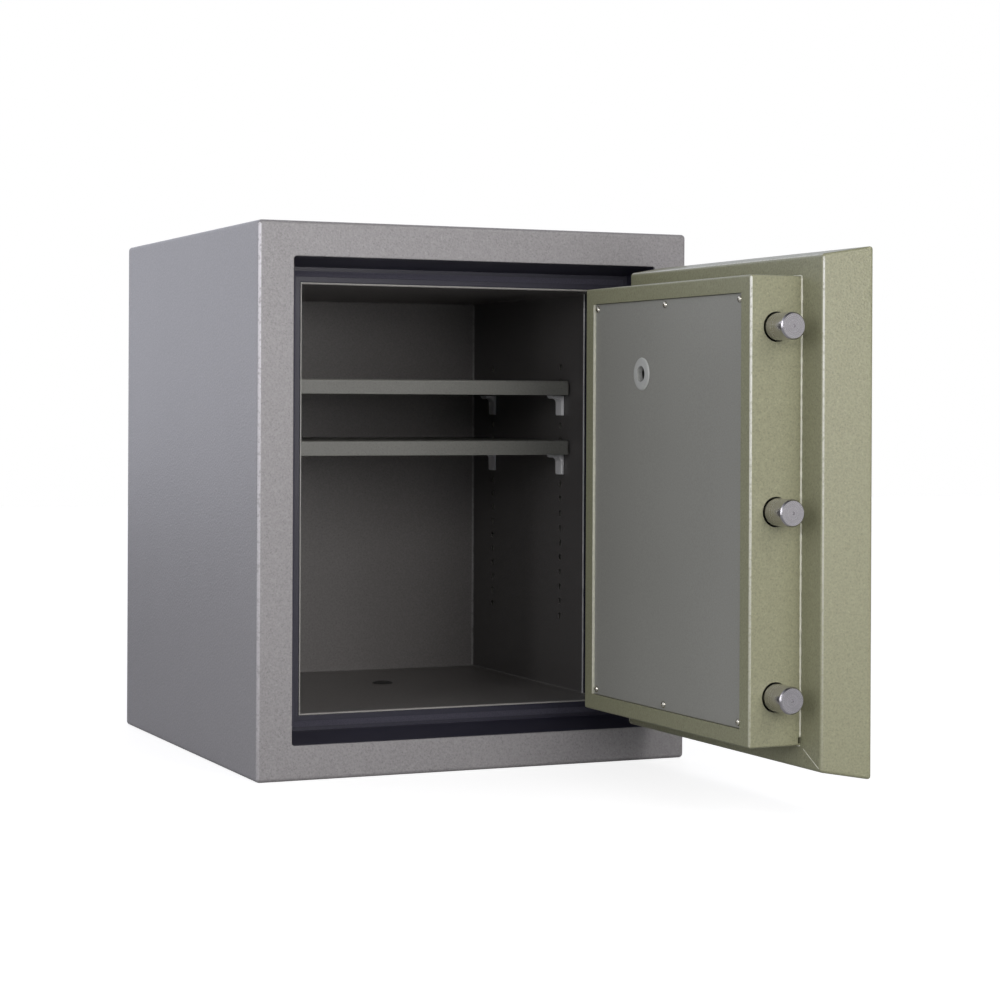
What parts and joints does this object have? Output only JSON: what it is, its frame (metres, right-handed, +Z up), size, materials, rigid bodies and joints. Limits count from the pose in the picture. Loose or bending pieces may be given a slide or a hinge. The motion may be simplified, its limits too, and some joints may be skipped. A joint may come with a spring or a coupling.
{
  "type": "fire and burglary safe",
  "caption": "Compact floor safe for fire and burglary protection: insulated cabinet with shelves, thick hinged door, round locking bolts, lever handle and combination dial.",
  "frame": {"origin": "middle of the cabinet's base", "axes": "+Z up, +Y into the safe from its front, +X to the right of someone facing it"},
  "size_m": [0.4605, 0.8572, 0.53],
  "materials": {
    "hammered_grey_paint": "satin hammer-finish paint",
    "hammered_olive_paint": "satin hammer-finish paint",
    "grey_panel_paint": "satin paint",
    "liner_paint": "fine textured paint",
    "black_jamb_paint": "semi-gloss paint",
    "seal_strip": "matt",
    "insulating_fill": "cast mineral fill",
    "black_plastic": "moulded",
    "light_grey_plastic": "moulded",
    "turned_steel": "turned",
    "chrome": "polished",
    "plain_steel": "mill finish",
    "zinc_casting": "cast",
    "brass": "machined"
  },
  "bodies": {
    "cabinet": {"outer_casing": "hammered_grey_paint", "back_panel": "hammered_grey_paint", "door_jamb": "black_jamb_paint", "locking_ledge": "black_jamb_paint", "heat_seal": "seal_strip", "inner_liner": "liner_paint", "bolt_pocket": "black_jamb_paint", "hinge_pocket": "black_jamb_paint", "insulation_fill": "insulating_fill", "anchor_plug": "black_plastic", "upper_shelf": "hammered_grey_paint", "lower_shelf": "hammered_grey_paint", "upper_clip_front_left": "light_grey_plastic", "upper_clip_rear_left": "light_grey_plastic", "upper_clip_front_right": "light_grey_plastic", "upper_clip_rear_right": "light_grey_plastic", "lower_clip_front_left": "light_grey_plastic", "lower_clip_rear_left": "light_grey_plastic", "lower_clip_front_right": "light_grey_plastic", "lower_clip_rear_right": "light_grey_plastic", "lower_cabinet_knuckle": "hammered_grey_paint", "upper_cabinet_knuckle": "hammered_grey_paint", "lower_hinge_pin": "turned_steel", "upper_hinge_pin": "turned_steel"},
    "door": {"door_shell": "hammered_olive_paint", "door_insulation": "insulating_fill", "hard_plate": "plain_steel", "boltwork_box": "hammered_olive_paint", "cover_panel": "grey_panel_paint", "cover_screw_1": "turned_steel", "cover_screw_2": "turned_steel", "cover_screw_3": "turned_steel", "cover_screw_4": "turned_steel", "cover_screw_5": "turned_steel", "cover_screw_6": "turned_steel", "change_key_grommet": "light_grey_plastic", "bolt_guide": "plain_steel", "hinge_side_bar": "plain_steel", "lock_case": "zinc_casting", "lock_cover": "zinc_casting", "lock_wheel_1": "brass", "lock_wheel_2": "brass", "lock_wheel_3": "brass", "dial_ring": "black_plastic", "handle_escutcheon": "chrome", "lower_door_knuckle": "hammered_olive_paint", "upper_door_knuckle": "hammered_olive_paint"},
    "boltwork": {"bolt_carrier": "plain_steel", "lower_bolt": "turned_steel", "middle_bolt": "turned_steel", "upper_bolt": "turned_steel"},
    "handle": {"handle_lever": "chrome", "handle_spindle": "turned_steel", "handle_cam": "zinc_casting"},
    "dial": {"dial_knob": "black_plastic", "dial_spindle": "turned_steel", "drive_cam": "brass"},
    "lock_tongue": {"lock_bolt": "brass"}
  },
  "joints": [
    {"name": "door_hinge", "type": "hinge", "parent": "cabinet", "child": "door", "pos_m": [0.19935, -0.2387, 0.265], "axis": [0, 0, 1], "range_deg": [-90.8, 79.2]},
    {"name": "handle_turn", "type": "hinge", "parent": "door", "child": "handle", "pos_m": [0.19355, -0.4749, 0.243], "axis": [-0.9999, -0.014, 0], "range_deg": [0, 70]},
    {"name": "bolts_slide", "type": "slide", "parent": "door", "child": "boltwork", "axis": [-0.014, 0.9999, 0], "range_m": [0, 0.028]},
    {"name": "dial_spin", "type": "hinge", "parent": "door", "child": "dial", "pos_m": [0.19242, -0.39381, 0.374], "axis": [-0.9999, -0.014, 0], "continuous": true},
    {"name": "lock_bolt_slide", "type": "slide", "parent": "door", "child": "lock_tongue", "axis": [0, 0, 1], "range_m": [0, 0.0075]}
  ],
  "couplings": [
    {"joint": "bolts_slide", "follows": "handle_turn", "m_per_rad": 0.0229}
  ]
}
